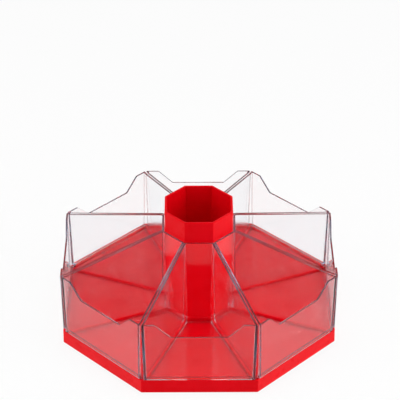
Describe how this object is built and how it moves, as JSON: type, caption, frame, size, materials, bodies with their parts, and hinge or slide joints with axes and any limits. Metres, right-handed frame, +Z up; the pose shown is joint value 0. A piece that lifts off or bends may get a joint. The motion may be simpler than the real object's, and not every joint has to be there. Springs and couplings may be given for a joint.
{
  "type": "rotating desk caddy",
  "caption": "Octagonal desk caddy whose red tray turns on a hidden ball ring, with clear lift-out wedge bins round a tall red centre cup.",
  "frame": {"origin": "on the turning axis, on the desk surface under the rubber feet", "axes": "+Z up along the turning axis; -Y towards the front bin; +X to the right seen from the front"},
  "size_m": [0.2776, 0.2776, 0.133],
  "materials": {
    "red_plastic": "moulded satin gloss",
    "clear_plastic": "clear moulded polystyrene",
    "black_plastic": "moulded matte",
    "rubber": "soft moulded rubber",
    "ball_steel": "polished",
    "white_plastic": "natural nylon",
    "zinc_steel": "zinc plated"
  },
  "bodies": {
    "foot": {"foot_plate": "black_plastic", "rubber_foot_1": "rubber", "rubber_foot_2": "rubber", "rubber_foot_3": "rubber", "rubber_foot_4": "rubber", "rubber_foot_5": "rubber", "rubber_foot_6": "rubber", "pivot_washer": "zinc_steel", "pivot_screw": "zinc_steel"},
    "turntable": {"base_tray": "red_plastic", "centre_cup": "red_plastic", "cup_screws": "zinc_steel"},
    "ball_ring": {"ball_cage": "white_plastic", "bearing_balls": "ball_steel"},
    "bin_1_body": {"bin_1": "clear_plastic"},
    "bin_2_body": {"bin_2": "clear_plastic"},
    "bin_3_body": {"bin_3": "clear_plastic"},
    "bin_4_body": {"bin_4": "clear_plastic"},
    "bin_5_body": {"bin_5": "clear_plastic"},
    "bin_6_body": {"bin_6": "clear_plastic"},
    "bin_7_body": {"bin_7": "clear_plastic"},
    "bin_8_body": {"bin_8": "clear_plastic"}
  },
  "joints": [
    {"name": "turntable_spin", "type": "hinge", "parent": "foot", "child": "turntable", "pos_m": [0, 0, 0], "axis": [0, 0, 1], "continuous": true},
    {"name": "ball_ring_spin", "type": "hinge", "parent": "foot", "child": "ball_ring", "pos_m": [0, 0, 0], "axis": [0, 0, 1], "continuous": true},
    {"name": "bin_1_lift", "type": "slide", "parent": "turntable", "child": "bin_1_body", "axis": [0, 0, 1], "range_m": [0, 0.13]},
    {"name": "bin_2_lift", "type": "slide", "parent": "turntable", "child": "bin_2_body", "axis": [0, 0, 1], "range_m": [0, 0.13]},
    {"name": "bin_3_lift", "type": "slide", "parent": "turntable", "child": "bin_3_body", "axis": [0, 0, 1], "range_m": [0, 0.13]},
    {"name": "bin_4_lift", "type": "slide", "parent": "turntable", "child": "bin_4_body", "axis": [0, 0, 1], "range_m": [0, 0.13]},
    {"name": "bin_5_lift", "type": "slide", "parent": "turntable", "child": "bin_5_body", "axis": [0, 0, 1], "range_m": [0, 0.13]},
    {"name": "bin_6_lift", "type": "slide", "parent": "turntable", "child": "bin_6_body", "axis": [0, 0, 1], "range_m": [0, 0.13]},
    {"name": "bin_7_lift", "type": "slide", "parent": "turntable", "child": "bin_7_body", "axis": [0, 0, 1], "range_m": [0, 0.13]},
    {"name": "bin_8_lift", "type": "slide", "parent": "turntable", "child": "bin_8_body", "axis": [0, 0, 1], "range_m": [0, 0.13]}
  ],
  "couplings": [
    {"joint": "ball_ring_spin", "follows": "turntable_spin", "ratio": 0.5}
  ]
}
